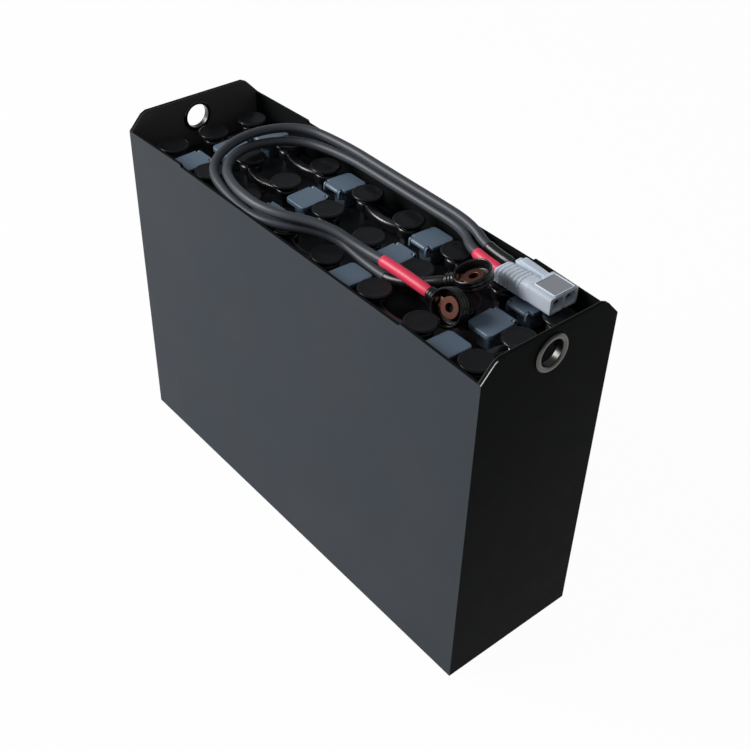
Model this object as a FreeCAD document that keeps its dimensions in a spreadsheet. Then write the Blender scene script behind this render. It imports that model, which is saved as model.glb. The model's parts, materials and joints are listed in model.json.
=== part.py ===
"""Forklift traction battery: twelve 2 V cells in a welded steel tray, with bolted links and a charging lead.

Units are millimetres.  The origin is the middle of the tray's underside.  +X runs along the long
walls to the end where the plug lies, +Y across to the back wall, +Z up.
Rows of cells are front, middle and back (along Y); columns are 1 to 4 (along X).
"""
import FreeCAD
import Part
import math
import os

import Sketcher

os.makedirs("parts", exist_ok=True)
doc = FreeCAD.newDocument("traction_battery")
vector = FreeCAD.Vector

# Driving dimensions: name, value, what it is
DIMENSIONS = [
    ("wall_above_caps", 13.5, "how far the long walls stand above the screw caps, along their middle"),
    ("wall_tab_length", 119.0, "length of the raised stretch at each end of a long wall"),
    ("wall_tab_rise", 3.0, "rise of that stretch where it steps down to the middle"),
    ("end_above_wall", 21.5, "how far the end plates stand above the long walls"),
    ("end_corner_run", 21.0, "slope at an end plate's top corner, across"),
    ("end_corner_rise", 22.5, "slope at an end plate's top corner, up"),
    ("end_gap", 1.0, "gap between the last cells and an end plate"),
    ("packing_sheet", 3.2, "thickness of a packing board between the cells and a long wall"),
    ("wall_sheet", 4.0, "sheet thickness of the long walls"),
    ("end_sheet", 5.0, "sheet thickness of the end plates"),
    ("floor_sheet", 5.0, "sheet thickness of the floor"),
    ("eye_below_end", 28.5, "from an end plate's top edge down to the lifting eye's centre"),
    ("eye_bore", 16.0, "bore radius of a lifting ring"),
    ("ring_wall", 2.5, "wall of a lifting ring's tube"),
    ("ring_flange", 23.0, "outside radius of a lifting ring's flange"),
    ("ring_flange_height", 3.0, "how far the flange stands off the end plate"),
    ("ring_lip", 20.5, "outside radius of the rolled lip on the inner face"),
    ("ring_lip_height", 2.0, "how far the rolled lip stands off the end plate"),
    ("jar_length", 158.0, "cell jar along the tray"),
    ("jar_width", 61.0, "cell jar across the tray"),
    ("jar_height", 395.0, "cell jar without its cover"),
    ("jar_wall", 2.5, "wall of a cell jar"),
    ("jar_floor", 4.0, "bottom of a cell jar"),
    ("column_gap", 2.0, "gap between neighbouring columns of cells"),
    ("row_gap", 0.3, "gap between neighbouring rows of cells"),
    ("cover_height", 6.0, "thickness of a cell cover"),
    ("vent_hole", 10.0, "radius of the filling hole"),
    ("pole_offset", 42.0, "from a cell's centre to each pole, along the tray"),
    ("pole_radius", 10.0, "radius of a lead pole"),
    ("pole_clearance", 0.3, "clearance of a pole in its cover"),
    ("pole_rise", 12.0, "how far a pole stands above its cover"),
    ("negative_plate", 4.6, "thickness of a pasted negative plate"),
    ("separator_sheet", 1.3, "thickness of a separator"),
    ("plate_slack", 3.4, "free width left in a jar by its plates and separators"),
    ("plate_side_room", 5.0, "room between a plate's edge and the jar's end wall"),
    ("head_room", 40.0, "room between the straps and the cover"),
    ("plate_lug", 24.0, "width of a plate's lug"),
    ("lug_rise", 14.0, "height of a plate's lug, up to the strap"),
    ("strap_height", 12.0, "height of the lead strap"),
    ("vent_side", 28.0, "side of the square vent plug"),
    ("vent_corner", 4.0, "how much is cut off a corner of the vent plug"),
    ("vent_height", 24.8, "height of the vent plug above its cover"),
    ("hinge_offset", 21.0, "from a vent's centre to its hinge axis"),
    ("hinge_height", 2.0, "hinge axis above the top of the vent plug"),
    ("pin_radius", 1.5, "radius of the hinge pin"),
    ("pin_clearance", 0.08, "clearance of the pin in the lid's knuckle"),
    ("knuckle_radius", 3.2, "size of the lid's knuckle, half across its flats"),
    ("knuckle_length", 24.0, "length of the lid's knuckle between the ears"),
    ("ear_thickness", 3.0, "thickness of an ear that holds the pin"),
    ("ear_clearance", 0.4, "side clearance of the knuckle between the ears"),
    ("lid_width", 36.0, "vent lid along the tray"),
    ("lid_reach", 41.0, "from the hinge axis to the lid's free edge"),
    ("lid_sheet", 3.2, "thickness of the vent lid"),
    ("lid_corner", 3.5, "how much is cut off a free corner of the lid"),
    ("lid_lip", 4.0, "how far the lip at the free edge hangs down"),
    ("lid_clearance", 0.3, "clearance under the closed lid"),
    ("link_eye", 14.0, "radius of a link's moulded eye"),
    ("link_height", 12.0, "height of a moulded link"),
    ("link_width", 13.0, "width of a link between its eyes"),
    ("link_bow", 11.0, "how far a link bows out sideways"),
    ("screw_radius", 5.0, "radius of a pole screw"),
    ("screw_clearance", 0.4, "clearance of the screw in a link's eye"),
    ("screw_depth", 14.0, "thread engaged in the pole"),
    ("screw_head", 6.5, "height of the screw's hexagon"),
    ("screw_flats", 17.0, "hexagon across its flats"),
    ("cap_radius", 20.0, "radius of the insulating cap on a screw"),
    ("cap_height", 3.5, "height of the insulating cap"),
    ("cable_radius", 6.0, "outside radius of a lead cable"),
    ("sleeve_wall", 0.9, "wall of a heat-shrink sleeve"),
    ("sleeve_clearance", 0.1, "clearance of a sleeve on its cable"),
    ("lug_sleeve_length", 74.0, "sleeve next to a cable lug"),
    ("plug_sleeve_length", 40.0, "sleeve next to the plug"),
    ("lug_eye", 12.5, "radius of a cable lug's eye"),
    ("lug_hole", 5.3, "radius of the hole in a cable lug"),
    ("lug_sheet", 4.0, "thickness of a cable lug's palm"),
    ("lug_barrel", 6.0, "outside radius of a cable lug's barrel"),
    ("lug_neck", 16.0, "from the eye's centre to the barrel"),
    ("lug_barrel_length", 17.0, "length of a cable lug's barrel"),
    ("boot_radius", 22.5, "outside radius of a rubber boot"),
    ("boot_wall", 3.0, "wall of a rubber boot"),
    ("boot_front", 9.0, "from the lug's mid-plane to the boot's mouth"),
    ("boot_back", 6.0, "from the lug's mid-plane to the boot's back"),
    ("boot_neck", 8.6, "outside radius of the boot's neck"),
    ("boot_neck_end", 31.0, "from the eye's centre to the end of the boot's neck"),
    ("boot_clearance", 0.3, "clearance between the lug and its boot"),
    ("positive_tilt", 20.0, "how far the positive boot's mouth is turned up, in degrees"),
    ("negative_tilt", 85.0, "how far the negative boot's mouth is turned up, in degrees"),
    ("plug_length", 86.0, "plug along the tray"),
    ("plug_width", 43.0, "width of the plug"),
    ("plug_height", 21.5, "height of the plug at its front"),
    ("plug_rear_height", 17.0, "height of the plug at its cable end"),
    ("plug_corner", 6.0, "slope along the plug's long top edge"),
    ("plug_clearance", 0.3, "gap between the plug and the caps under it"),
    ("plug_to_end", 44.0, "from the plug's front to the near end plate"),
    ("plug_offset", 8.7, "from the back row's middle to the plug's middle, across the tray"),
    ("plug_lobe", 29.0, "width of the ribbed lobe"),
    ("plug_trough", 2.5, "width of the trough between the two lobes"),
    ("plug_trough_height", 9.0, "height of the trough's floor"),
    ("plug_head", 36.0, "length of the plug's full-height head"),
    ("plug_rib_depth", 1.2, "depth of a finger groove"),
    ("plug_rib_pitch", 5.6, "pitch of the finger grooves"),
    ("plug_rib_width", 1.5, "width of a finger groove"),
    ("plug_field_rise", 1.2, "how far the frame round the bare field stands up"),
    ("plug_field_rim", 1.6, "width of that frame"),
    ("plug_mouth_depth", 34.0, "depth of a contact chamber"),
    ("plug_mouth_width", 15.0, "width of a contact chamber"),
    ("plug_mouth_height", 14.0, "height of a contact chamber"),
    ("plug_pole_pitch", 19.0, "distance between the two poles"),
    ("contact_length", 30.0, "length of a contact blade"),
    ("contact_width", 9.0, "width of a contact blade"),
    ("contact_sheet", 3.0, "thickness of a contact blade"),
]

sheet = doc.addObject("Spreadsheet::Sheet", "sizes")
for line, (alias, number, meaning) in enumerate(DIMENSIONS, start=1):
    sheet.set(f"A{line}", alias)
    sheet.set(f"B{line}", f"{number:g}")
    sheet.set(f"C{line}", meaning)
    sheet.setAlias(f"B{line}", alias)
doc.recompute()


class Size:
    """A length worked out from the sheet: its expression and its present value."""

    def __init__(self, text, number):
        self.text = text
        self.number = number

    def __add__(self, other):
        other = size(other)
        return Size(f"({self.text} + {other.text})", self.number + other.number)

    def __sub__(self, other):
        other = size(other)
        return Size(f"({self.text} - {other.text})", self.number - other.number)

    def __mul__(self, factor):
        return Size(f"({self.text} * {factor:g})", self.number * factor)

    def __truediv__(self, divisor):
        return Size(f"({self.text} / {divisor:g})", self.number / divisor)

    def __neg__(self):
        return Size(f"(0 - {self.text})", -self.number)


def size(value):
    """A Size from a sheet name, a plain number or a Size."""
    if isinstance(value, Size):
        return value
    if isinstance(value, str):
        return Size(f"sizes.{value}", float(sheet.get(value)))
    return Size(f"{value:.10g}", float(value))


def bind(item, properties):
    """Set an object's properties and tie each of them to the sheet."""
    for name, value in properties.items():
        value = size(value)
        if "." not in name:
            setattr(item, name, value.number)
        item.setExpression(name, value.text)


def place(item, x, y, z, turn=0.0):
    """Place an object by sizes, turned about Z by a number of degrees."""
    x, y, z = size(x), size(y), size(z)
    item.Placement = FreeCAD.Placement(vector(x.number, y.number, z.number),
                                       FreeCAD.Rotation(vector(0, 0, 1), turn))
    bind(item, {"Placement.Base.x": x, "Placement.Base.y": y, "Placement.Base.z": z})


def box(label, length, width, height, x, y, z):
    """A Part::Box from its lowest corner."""
    item = doc.addObject("Part::Box", label)
    bind(item, {"Length": length, "Width": width, "Height": height})
    place(item, x, y, z)
    return item


def cut(label, base, tool):
    """Base without tool."""
    item = doc.addObject("Part::Cut", label)
    item.Base, item.Tool = base, tool
    return item


def plane_sketch(body, name, role, offset=0.0):
    """A sketch on one of the body's own origin planes, moved along the plane's normal."""
    sketch = body.newObject("Sketcher::SketchObject", name)
    plane = [item for item in body.Origin.OriginFeatures if item.Role == role][0]
    sketch.AttachmentSupport = [(plane, "")]
    sketch.MapMode = "FlatFace"
    offset = size(offset)
    sketch.AttachmentOffset.Base = vector(0, 0, offset.number)
    sketch.setExpression("AttachmentOffset.Base.z", offset.text)
    return sketch


def tie_point(sketch, geometry, point, x, y):
    """Hold a point of the sketch at sizes from its origin."""
    for kind, value in (("DistanceX", size(x)), ("DistanceY", size(y))):
        index = sketch.addConstraint(Sketcher.Constraint(kind, -1, 1, geometry, point, value.number))
        sketch.setExpression(f"Constraints[{index}]", value.text)


def draw_polygon(sketch, corners):
    """A closed outline of straight lines through corners given as sizes."""
    corners = [(size(x), size(y)) for x, y in corners]
    points = [vector(x.number, y.number, 0) for x, y in corners]
    first = len(sketch.Geometry)
    for start, end in zip(points, points[1:] + points[:1]):
        sketch.addGeometry(Part.LineSegment(start, end), False)
    count = len(points)
    for step in range(count):
        sketch.addConstraint(Sketcher.Constraint("Coincident", first + step, 2, first + (step + 1) % count, 1))
    for step, (x, y) in enumerate(corners):
        tie_point(sketch, first + step, 1, x, y)


def draw_circle(sketch, x, y, radius):
    """A circle with its centre and radius tied to the sheet."""
    x, y, radius = size(x), size(y), size(radius)
    index = sketch.addGeometry(Part.Circle(vector(x.number, y.number, 0), vector(0, 0, 1), radius.number), False)
    tie_point(sketch, index, 3, x, y)
    held = sketch.addConstraint(Sketcher.Constraint("Radius", index, radius.number))
    sketch.setExpression(f"Constraints[{held}]", radius.text)


def rectangle(x_low, x_high, y_low, y_high):
    """The corners of a rectangle, anticlockwise."""
    return [(x_low, y_low), (x_high, y_low), (x_high, y_high), (x_low, y_high)]


def pad(body, sketch, length, both_ways=False, reverse=False):
    """Add the sketch's outline to the body, as far as length."""
    feature = body.newObject("PartDesign::Pad", f"{sketch.Name}_pad")
    feature.Profile = sketch
    feature.Midplane = both_ways
    feature.Reversed = reverse
    bind(feature, {"Length": length})
    return feature


def pocket(body, sketch, length, both_ways=False, reverse=False):
    """Take the sketch's outline out of the body, as far as length, and see that it took something."""
    doc.recompute()
    before = body.Shape.Volume
    feature = body.newObject("PartDesign::Pocket", f"{sketch.Name}_pocket")
    feature.Profile = sketch
    feature.Midplane = both_ways
    feature.Reversed = reverse
    bind(feature, {"Length": length})
    doc.recompute()
    if body.Shape.Volume > before - 1:
        raise RuntimeError(f"{sketch.Name} removed nothing")
    return feature


def group(label, shapes):
    """Like pieces of one kind as separate solids under one label."""
    item = doc.addObject("Part::Feature", label)
    item.Shape = Part.makeCompound(shapes)
    return item


def copies(master, places, turns=None):
    """The master's solid at each place (x, y, z), each turned about Z by its number of degrees."""
    turns = turns or [0.0] * len(places)
    shapes = []
    for (x, y, z), turn in zip(places, turns):
        shape = master.copy()
        shape.Placement = FreeCAD.Placement(vector(x, y, z), FreeCAD.Rotation(vector(0, 0, 1), turn))
        shapes.append(shape)
    return shapes


def flat_sided(levels, sides):
    """An upright turned piece with flat sides, through (corner radius, height) levels from its foot up."""
    rings = []
    for radius, height in levels:
        angles = [math.tau * (step + 0.5) / sides for step in range(sides)]
        rings.append([vector(radius * math.cos(angle), radius * math.sin(angle), height) for angle in angles])
    faces = [Part.Face(Part.makePolygon(ring + ring[:1])) for ring in (rings[0], rings[-1])]
    for low, high in zip(rings, rings[1:]):
        for step in range(sides):
            after = (step + 1) % sides
            corners = [low[step], low[after], high[after], high[step], low[step]]
            faces.append(Part.Face(Part.makePolygon(corners)))
    solid = Part.makeSolid(Part.makeShell(faces))
    if solid.Volume < 0:
        solid.reverse()
    return solid


def prism(radius, height, sides, foot=0.0):
    """A flat-sided bar whose corners lie at radius."""
    return flat_sided([(radius, foot), (radius, foot + height)], sides)


def round_flats(radius, sides):
    """Corner radius of a flat-sided hole that a round bar of this radius just enters."""
    return radius / math.cos(math.pi / sides)


def draw_sided(sketch, x, y, radius, sides):
    """A regular outline with its corners at radius."""
    radius = size(radius)
    angles = [math.tau * (step + 0.5) / sides for step in range(sides)]
    draw_polygon(sketch, [(size(x) + radius * math.cos(angle), size(y) + radius * math.sin(angle))
                          for angle in angles])


# Places of the cells and of the levels that the pieces share
ROWS = {"front": -1, "middle": 0, "back": 1}
COLUMNS = (1, 2, 3, 4)
column_pitch = size("jar_length") + "column_gap"
row_pitch = size("jar_width") + "row_gap"
jar_top = size("floor_sheet") + "jar_height"
cover_top = jar_top + "cover_height"
pole_top = cover_top + "pole_rise"
link_top = pole_top + "link_height"
screw_top = link_top + "screw_head"
cap_top = screw_top + "cap_height"
vent_top = cover_top + "vent_height"
hinge_level = vent_top + "hinge_height"
plate_foot = size("floor_sheet") + "jar_floor"
wall_top = cap_top + "wall_above_caps"
end_top = wall_top + "end_above_wall"
eye_height = end_top - "eye_below_end"

# Sizes that follow from the cells
tray_length = column_pitch * 3 + "jar_length" + (size("end_gap") + "end_sheet") * 2
tray_width = row_pitch * 2 + "jar_width" + (size("packing_sheet") + "wall_sheet") * 2
plate_length = size("jar_length") - size("jar_wall") * 2 - size("plate_side_room") * 2
plate_height = size("jar_height") - "jar_floor" - "head_room" - "lug_rise" - "strap_height"
plate_room = size("jar_width") - size("jar_wall") * 2 - "plate_slack"
positive_plate = (plate_room - size("negative_plate") * 4 - size("separator_sheet") * 6) / 3
plug_rear_x = tray_length / 2 - "end_sheet" - "plug_to_end" - "plug_length"
plug_centre_y = row_pitch + "plug_offset"
plug_foot = cap_top + "plug_clearance"
pole_hole = size("pole_radius") + "pole_clearance"


def column_x(column):
    """The middle of a column of cells along the tray."""
    return column_pitch * (column - 2.5)


def row_y(row):
    """The middle of a row of cells across the tray."""
    return row_pitch * ROWS[row]


CELLS = [(row, column) for row in ROWS for column in COLUMNS]
cell_centres = [(column_x(column).number, row_y(row).number) for row, column in CELLS]

# Which vents have their hinge towards the front wall: those whose lid swings clear of the lead that way
HINGE_IN_FRONT = {cell: cell[0] == "back" or cell in (("front", 3), ("front", 4)) for cell in CELLS}


def make_tray():
    """Welded tray: floor, two long walls with raised ends, two end plates with sloped top corners."""
    half_length, half_width = tray_length / 2, tray_width / 2
    body = doc.addObject("PartDesign::Body", "tray")
    wall = plane_sketch(body, "tray_wall_outline", "XZ_Plane")
    tab_end = half_length - "wall_tab_length"
    tab_top = wall_top + "wall_tab_rise"
    corner = end_top - "end_corner_rise"
    draw_polygon(wall, [(-half_length, 0), (half_length, 0), (half_length, corner), (tab_end, tab_top),
                        (tab_end - "wall_tab_rise", wall_top), (-tab_end + "wall_tab_rise", wall_top),
                        (-tab_end, tab_top), (-half_length, corner)])
    pad(body, wall, tray_width, both_ways=True)
    inside = plane_sketch(body, "tray_inside", "XY_Plane", "floor_sheet")
    inner_length, inner_width = half_length - "end_sheet", half_width - "wall_sheet"
    draw_polygon(inside, rectangle(-inner_length, inner_length, -inner_width, inner_width))
    pocket(body, inside, end_top, reverse=True)
    slope_end = half_width - size("end_corner_run") * 0.85
    slope_top = end_top - size("end_corner_rise") * 0.15
    top_end = half_width - size("end_corner_run") * 1.2
    outline = [(-half_width, 0), (half_width, 0), (half_width, corner), (slope_end, slope_top), (top_end, end_top),
               (-top_end, end_top), (-slope_end, slope_top), (-half_width, corner)]
    for name, face, reverse in (("far", -half_length, False), ("near", half_length, True)):
        end = plane_sketch(body, f"tray_{name}_end", "YZ_Plane", face)
        draw_polygon(end, outline)
        pad(body, end, "end_sheet", reverse=reverse)
    eyes = plane_sketch(body, "tray_eyes", "YZ_Plane")
    draw_circle(eyes, 0, eye_height, size("eye_bore") + "ring_wall")
    pocket(body, eyes, tray_length, both_ways=True)
    return body


def make_lifting_rings():
    """Steel rings that line the two lifting eyes: a tube, a flange outside and a rolled lip inside."""
    bore, tube_radius = size("eye_bore").number, (size("eye_bore") + "ring_wall" - 0.1).number
    flange, lip = size("ring_flange").number, size("ring_lip").number
    outside, inside = size("ring_flange_height").number, size("ring_lip_height").number
    sheet_thickness = size("end_sheet").number
    foot = -sheet_thickness - inside
    levels = [(lip - 1.0, foot), (lip, foot + inside / 2), (lip, -sheet_thickness), (tube_radius, -sheet_thickness),
              (tube_radius, 0), (flange, 0), (flange, outside * 0.4), (flange - 2.5, outside)]
    ring = flat_sided(levels, 24).cut(Part.makeCylinder(bore, 40, vector(0, 0, -20)))
    rings = []
    for side in (-1, 1):
        turned = ring.copy()
        turned.Placement = FreeCAD.Placement(vector(side * tray_length.number / 2, 0, eye_height.number),
                                             FreeCAD.Rotation(vector(0, 1, 0), 90 * side))
        rings.append(turned)
    return group("lifting_rings", rings)


def make_side_packings():
    """Plastic boards that wedge the rows of cells between the long walls."""
    reach = row_pitch + size("jar_width") / 2
    thickness = size("packing_sheet")
    length = column_pitch * 3 + "jar_length"
    boards = []
    for name, y in (("front", -(reach + thickness)), ("back", reach)):
        boards.append(box(f"{name}_packing", length, thickness, size("jar_height") * 0.8, -(length / 2), y,
                          "floor_sheet"))
    return boards


def make_cell_jar(row, column):
    """Thin-walled plastic jar of one cell, open at the top."""
    label = f"cell_jar_{row}_{column}"
    x, y = column_x(column) - size("jar_length") / 2, row_y(row) - size("jar_width") / 2
    block = box(f"{label}_block", "jar_length", "jar_width", "jar_height", x, y, "floor_sheet")
    wall = size("jar_wall")
    hollow = box(f"{label}_hollow", size("jar_length") - wall * 2, size("jar_width") - wall * 2, "jar_height",
                 x + wall, y + wall, plate_foot)
    return cut(label, block, hollow)


def make_cell_covers():
    """Covers welded on the jars, each with two pole holes and a round filling hole."""
    body = doc.addObject("PartDesign::Body", "cover_pattern")
    outline = plane_sketch(body, "cover_outline", "XY_Plane")
    half_length, half_width = size("jar_length") / 2, size("jar_width") / 2
    draw_polygon(outline, rectangle(-half_length, half_length, -half_width, half_width))
    draw_sided(outline, 0, 0, "vent_hole", 12)
    for side in (-1, 1):
        draw_sided(outline, size("pole_offset") * side, 0, pole_hole, 8)
    pad(body, outline, "cover_height")
    doc.recompute()
    return group("cell_covers", copies(body.Shape, [(x, y, jar_top.number) for x, y in cell_centres]))


def plate_positions():
    """Middle of each plate and separator across a cell: lists for positive, negative and separator."""
    positive, negative, gap = (size(name).number for name in (positive_plate, "negative_plate", "separator_sheet"))
    stack = [("negative", negative), ("separator", gap), ("positive", positive), ("separator", gap)] * 3
    stack.append(("negative", negative))
    places = {"positive": [], "negative": [], "separator": []}
    edge = -sum(thickness for _, thickness in stack) / 2
    for kind, thickness in stack:
        places[kind].append(edge + thickness / 2)
        edge += thickness
    return places


def make_plate_group(label, kind, thickness, side):
    """Plates of one polarity burned to a strap with its pole, once in each cell."""
    length, height, lug = (size(name).number for name in (plate_length, plate_height, "plate_lug"))
    lug_x = size("pole_offset").number * side
    lug_top = height + size("lug_rise").number
    outline = [(-length / 2, 0), (length / 2, 0), (length / 2, height), (lug_x + lug / 2, height),
               (lug_x + lug / 2, lug_top), (lug_x - lug / 2, lug_top), (lug_x - lug / 2, height),
               (-length / 2, height)]
    middles = plate_positions()[kind]
    plates = []
    for middle in middles:
        face = Part.Face(Part.makePolygon([vector(x, middle - thickness / 2, z) for x, z in outline + outline[:1]]))
        plates.append(face.extrude(vector(0, thickness, 0)))
    span = middles[-1] - middles[0] + thickness
    strap = Part.makeBox(lug, span, size("strap_height").number, vector(lug_x - lug / 2, -span / 2, lug_top))
    pole_length = (pole_top - plate_foot).number - lug_top
    pole = prism(size("pole_radius").number, pole_length, 8, lug_top)
    pole.translate(vector(lug_x, 0, 0))
    shape = strap.fuse(plates + [pole]).removeSplitter()
    return group(label, copies(shape, [(x, y, plate_foot.number) for x, y in cell_centres]))


def make_separators():
    """Microporous sheets between the plates."""
    thickness, length, height = (size(name).number for name in ("separator_sheet", plate_length, plate_height))
    sheets = []
    for x, y in cell_centres:
        for middle in plate_positions()["separator"]:
            corner = vector(x - length / 2, y + middle - thickness / 2, plate_foot.number)
            sheets.append(Part.makeBox(length, thickness, height, corner))
    return group("separators", sheets)


def make_vent_plugs():
    """Square filling plugs, each with two ears and the pin that its lid turns on."""
    body = doc.addObject("PartDesign::Body", "vent_pattern")
    half = size("vent_side") / 2
    collar = plane_sketch(body, "vent_collar", "XY_Plane")
    flat = half - "vent_corner"
    draw_polygon(collar, [(-half, -half), (half, -half), (half, flat), (flat, half), (-flat, half), (-half, flat)])
    draw_sided(collar, 0, 0, "vent_hole", 12)
    pad(body, collar, size("vent_height") - "lid_clearance")
    axis_z = size("vent_height") + "hinge_height"
    ear_inside = size("knuckle_length") / 2 + "ear_clearance"
    ear_foot = size("vent_height") / 2
    radius = size("knuckle_radius")
    for side, name in ((-1, "left"), (1, "right")):
        ear = plane_sketch(body, f"vent_{name}_ear", "YZ_Plane", ear_inside * side)
        reach = -size("hinge_offset")
        draw_polygon(ear, [(-half, ear_foot), (-half, vent_step()), (reach + radius, vent_step()),
                           (reach + radius, axis_z), (reach + radius / 2, axis_z + radius),
                           (reach - radius / 2, axis_z + radius), (reach - radius, axis_z),
                           (reach - radius, ear_foot + radius * 2)])
        pad(body, ear, "ear_thickness", reverse=side < 0)
    pin = plane_sketch(body, "vent_pin", "YZ_Plane")
    draw_sided(pin, -size("hinge_offset"), axis_z, "pin_radius", 12)
    pad(body, pin, ear_inside * 2 + "ear_thickness", both_ways=True)
    doc.recompute()
    places = [(x, y, cover_top.number) for x, y in cell_centres]
    turns = [0 if HINGE_IN_FRONT[cell] else 180 for cell in CELLS]
    return group("vent_plugs", copies(body.Shape, places, turns))


def vent_step():
    """Height of the notch between the plug's ears and its lid, above the cover."""
    return size("vent_height") - "knuckle_radius"


def make_vent_lid(row, column):
    """Flip lid of one vent: a plate with a lip at its free edge and a knuckle round the pin."""
    label = f"vent_lid_{row}_{column}"
    body = doc.addObject("PartDesign::Body", label)
    radius = size("knuckle_radius")
    under = -size("hinge_height")
    top = under + "lid_sheet"
    slope = size("lid_sheet") / 2
    lip_foot = under - "lid_lip"
    lip_back = size("lid_reach") - "lid_sheet"
    profile = plane_sketch(body, f"{label}_profile", "YZ_Plane")
    draw_polygon(profile, [(radius, under), (lip_back, under), (lip_back, lip_foot), ("lid_reach", lip_foot),
                           ("lid_reach", top - slope), (size("lid_reach") - slope, top), (radius / 2, radius),
                           (-radius / 2, radius), (-radius, radius / 2), (-radius, -radius / 2),
                           (-radius / 2, -radius), (radius / 2, -radius), (radius, -radius / 2)])
    draw_circle(profile, 0, 0, size("pin_radius") + "pin_clearance")
    pad(body, profile, "lid_width", both_ways=True)
    knuckle_half, lid_half = size("knuckle_length") / 2, size("lid_width") / 2
    ear_corner = radius * math.hypot(0.5, 1)
    for side, name in ((-1, "left"), (1, "right")):
        room = plane_sketch(body, f"{label}_{name}_room", "XY_Plane", -(radius * 2))
        draw_polygon(room, rectangle(knuckle_half * side, (lid_half + 1) * side, -(radius * 2),
                                     ear_corner + "lid_clearance"))
        pocket(body, room, radius * 4, reverse=True)
        corner = plane_sketch(body, f"{label}_{name}_corner", "XY_Plane", -(radius * 2))
        reach, inset = size("lid_reach"), lid_half - "lid_corner"
        draw_polygon(corner, [(lid_half * side, reach - "lid_corner"), ((lid_half + 1) * side, reach + 1),
                              (inset * side, reach)])
        pocket(body, corner, radius * 4, reverse=True)
    turn = 0 if HINGE_IN_FRONT[(row, column)] else 180
    offset = size("hinge_offset") * (-1 if HINGE_IN_FRONT[(row, column)] else 1)
    place(body, column_x(column), row_y(row) + offset, hinge_level, turn)
    return body


def link_solid(span, bow, radius, hole):
    """A moulded link along X: two eyes and a bar between them that bows towards -Y."""
    height = size("link_height").number
    half_width = size("link_width").number / 2
    bend = (span ** 2 / 4 + bow ** 2) / (2 * bow)
    reach = math.asin(span / 2 / bend)
    angles = [reach * (step / 4 - 1) for step in range(9)]
    outline = []
    for shift, order in ((-half_width, angles), (half_width, angles[::-1])):
        outline += [vector(bend * math.sin(angle), shift - bow + bend * (1 - math.cos(angle)), 0) for angle in order]
    solid = Part.Face(Part.makePolygon(outline + outline[:1])).extrude(vector(0, 0, height))
    for side in (-1, 1):
        eye = prism(radius, height, 16)
        eye.translate(vector(side * span / 2, 0, 0))
        solid = solid.fuse(eye)
    solid = solid.removeSplitter()
    for side in (-1, 1):
        opening = prism(hole, height * 3, 8, -height)
        opening.translate(vector(side * span / 2, 0, 0))
        solid = solid.cut(opening)
    return solid


def make_links():
    """Nine links along the rows and two across them, which put the twelve cells in series."""
    radius = size("link_eye").number
    hole = round_flats((size("screw_radius") + "screw_clearance").number, 8)
    bow, level = size("link_bow").number, pole_top.number
    offset = size("pole_offset")
    straight = link_solid((column_pitch - offset * 2).number, bow, radius, hole)
    across = link_solid(row_pitch.number, bow, radius, hole)
    between = [(column_pitch * (column - 2)).number for column in COLUMNS[:3]]
    along = [(x, row_y(row).number, level) for row in ROWS for x in between]
    end = (column_x(4) + offset).number
    solids = copies(straight, along)
    solids += copies(across, [(-end, row_pitch.number / 2, level), (end, -row_pitch.number / 2, level)], [90, -90])
    return group("cell_links", solids)


def pole_places(level):
    """Every pole's centre at one level."""
    offset = size("pole_offset").number
    return [(x + side * offset, y, level) for x, y in cell_centres for side in (-1, 1)]


def free_poles():
    """The two end poles, which no link covers."""
    end = (column_x(4) + "pole_offset").number
    return [(-end, -row_pitch.number), (end, row_pitch.number)]


def make_pole_screws():
    """Hexagon screws that hold the links on the poles."""
    flats, head, radius = (size(name).number for name in ("screw_flats", "screw_head", "screw_radius"))
    reach = (size("link_height") + "screw_depth").number
    corner = flats / math.sqrt(3)
    ring = [vector(corner * math.cos(math.radians(60 * step)), corner * math.sin(math.radians(60 * step)), 0)
            for step in range(7)]
    hexagon = Part.Face(Part.makePolygon(ring)).extrude(vector(0, 0, head))
    screw = hexagon.fuse(prism(radius, reach + 1, 8, -reach)).removeSplitter()
    return group("pole_screws", copies(screw, pole_places(link_top.number)))


def make_end_washers():
    """Thick washers under the screws of the two end poles, where the lead's lugs belong."""
    radius, height = size("link_eye").number, size("link_height").number
    hole = round_flats((size("screw_radius") + "screw_clearance").number, 8)
    washer = prism(radius, height, 16).cut(prism(hole, height * 3, 8, -height))
    return group("end_pole_washers", copies(washer, [(x, y, pole_top.number) for x, y in free_poles()]))


def make_screw_caps():
    """Round insulating caps over the screws."""
    cap = prism(size("cap_radius").number, size("cap_height").number, 24)
    return group("screw_caps", copies(cap, pole_places(screw_top.number)))


# Routes of the two lead cables, from the lug's barrel to the plug, chosen by hand
POSITIVE_ROUTE = [(172, -28.1, 447), (118, -30, 450.6), (66, -31.5, 446.8), (14, -42, 458), (-46, -83.3, 461),
                  (-112, -82.5, 460.8), (-172, -58, 456), (-209, 2, 450), (-184, 68, 447.6), (-112, 88.3, 447),
                  (-40, 88.3, 446.9), (40, 88.4, 446.9), (106, 88.3, 447), (146, 59, 449.3), (190, 59, 449.3)]
NEGATIVE_ROUTE = [(168.5, -2, 448.4), (130, -30.5, 431), (66, -31, 430.6), (12, -34, 444.5), (-46, -88.6, 447.7),
                  (-112, -88.4, 447), (-190, -70, 452), (-216, 0, 463), (-188, 72, 465), (-112, 88.6, 461),
                  (-40, 88.3, 460.5), (40, 88.3, 460.5), (116, 87.4, 461), (151, 79, 449.3), (190, 79, 449.3)]


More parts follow.
